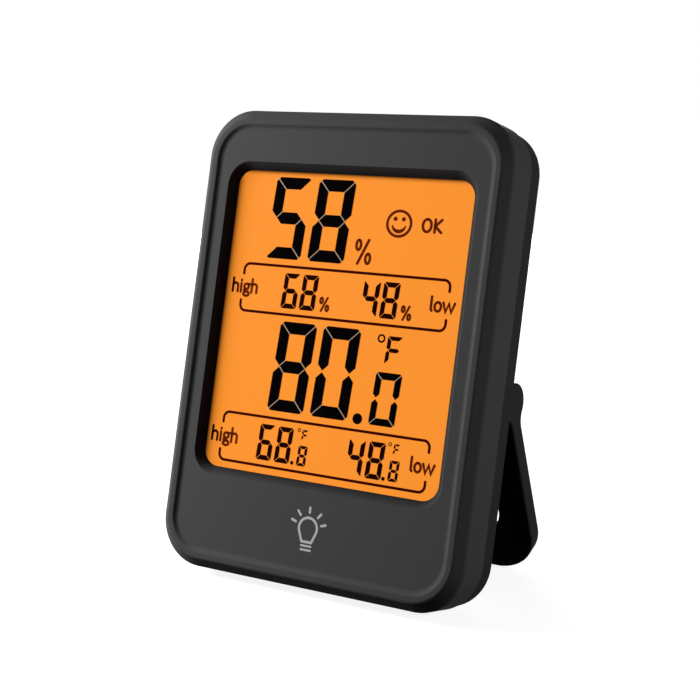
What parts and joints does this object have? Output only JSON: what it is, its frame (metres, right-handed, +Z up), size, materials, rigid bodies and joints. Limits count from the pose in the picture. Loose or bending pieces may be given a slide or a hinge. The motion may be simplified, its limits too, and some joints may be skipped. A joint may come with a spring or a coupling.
{
  "type": "temperature humidity sensor",
  "caption": "Desk temperature and humidity sensor with a backlit display in a dark upright case, a fold-out rear stand, a battery block and rear buttons.",
  "frame": {"origin": "bottom centre of the object's box, on the ground between the case and the stand's foot", "axes": "+Z up, +X to the display's right as its reader sees it, +Y towards the back; the case leans back about 14 degrees on its open stand"},
  "size_m": [0.059, 0.0374, 0.0797],
  "materials": {
    "face_plastic": "fine satin texture, charcoal",
    "cover_plastic": "fine moulded texture, near black",
    "stand_plastic": "smooth moulded, near black",
    "button_plastic": "smooth moulded, near black",
    "black_tape": "black adhesive tape",
    "clear_lens": "clear polished sheet",
    "white_plastic": "white moulded",
    "strip_rubber": "striped conductive rubber",
    "lamp_resin": "clear cast resin",
    "board_green": "solder mask",
    "chip_resin": "cast black resin",
    "can_metal": "drawn can",
    "capacitor_tan": "fired ceramic",
    "sensor_ceramic": "printed ceramic",
    "bead_glass": "dipped bead",
    "touch_foil": "copper foil",
    "spring_steel": "plain strip",
    "switch_plastic": "moulded",
    "screw_steel": "blackened",
    "cell_wrap": "printed sleeve, plain",
    "contact_nickel": "nickel plated",
    "amber_film": "amber lit film",
    "display_glass": "polished glass",
    "white_film": "white film",
    "clear_guide": "clear sheet"
  },
  "bodies": {
    "case": {"front_case": "face_plastic", "back_cover": "cover_plastic", "lens_tape": "black_tape", "window_lens": "clear_lens", "display_holder": "white_plastic", "connector_strip": "strip_rubber", "backlight_lamps": "lamp_resin", "circuit_board": "board_green", "controller_chip": "chip_resin", "clock_crystal": "can_metal", "capacitors": "capacitor_tan", "humidity_sensor": "sensor_ceramic", "thermistor": "bead_glass", "touch_pad": "touch_foil", "touch_strip": "spring_steel", "switch_bodies": "switch_plastic", "case_screws": "screw_steel", "board_screws": "screw_steel", "battery_cells": "cell_wrap", "positive_terminal": "contact_nickel", "negative_terminal": "contact_nickel", "contact_bridge": "contact_nickel", "front_polariser": "amber_film", "front_glass": "display_glass", "rear_glass": "display_glass", "rear_polariser": "amber_film", "light_diffuser": "white_film", "light_guide": "clear_guide", "light_reflector": "white_film"},
    "stand": {"stand": "stand_plastic"},
    "battery_door": {"battery_door": "cover_plastic"},
    "unit_button": {"unit_button": "button_plastic", "unit_stem": "switch_plastic"},
    "clear_button": {"clear_button": "button_plastic", "clear_stem": "switch_plastic"}
  },
  "joints": [
    {"name": "stand_fold", "type": "hinge", "parent": "case", "child": "stand", "pos_m": [0, 0.00458, 0.03261], "axis": [1, 0, 0], "range_deg": [-36, 0]},
    {"name": "door_slide", "type": "slide", "parent": "case", "child": "battery_door", "axis": [0, -0.2256, -0.9742], "range_m": [0, 0.005]},
    {"name": "unit_press", "type": "slide", "parent": "case", "child": "unit_button", "axis": [0, -0.9742, 0.2256], "range_m": [0, 0.0003], "stiffness_N_per_m": 400, "springref_m": -0.0003},
    {"name": "clear_press", "type": "slide", "parent": "case", "child": "clear_button", "axis": [0, -0.9742, 0.2256], "range_m": [0, 0.0003], "stiffness_N_per_m": 400, "springref_m": -0.0003}
  ]
}
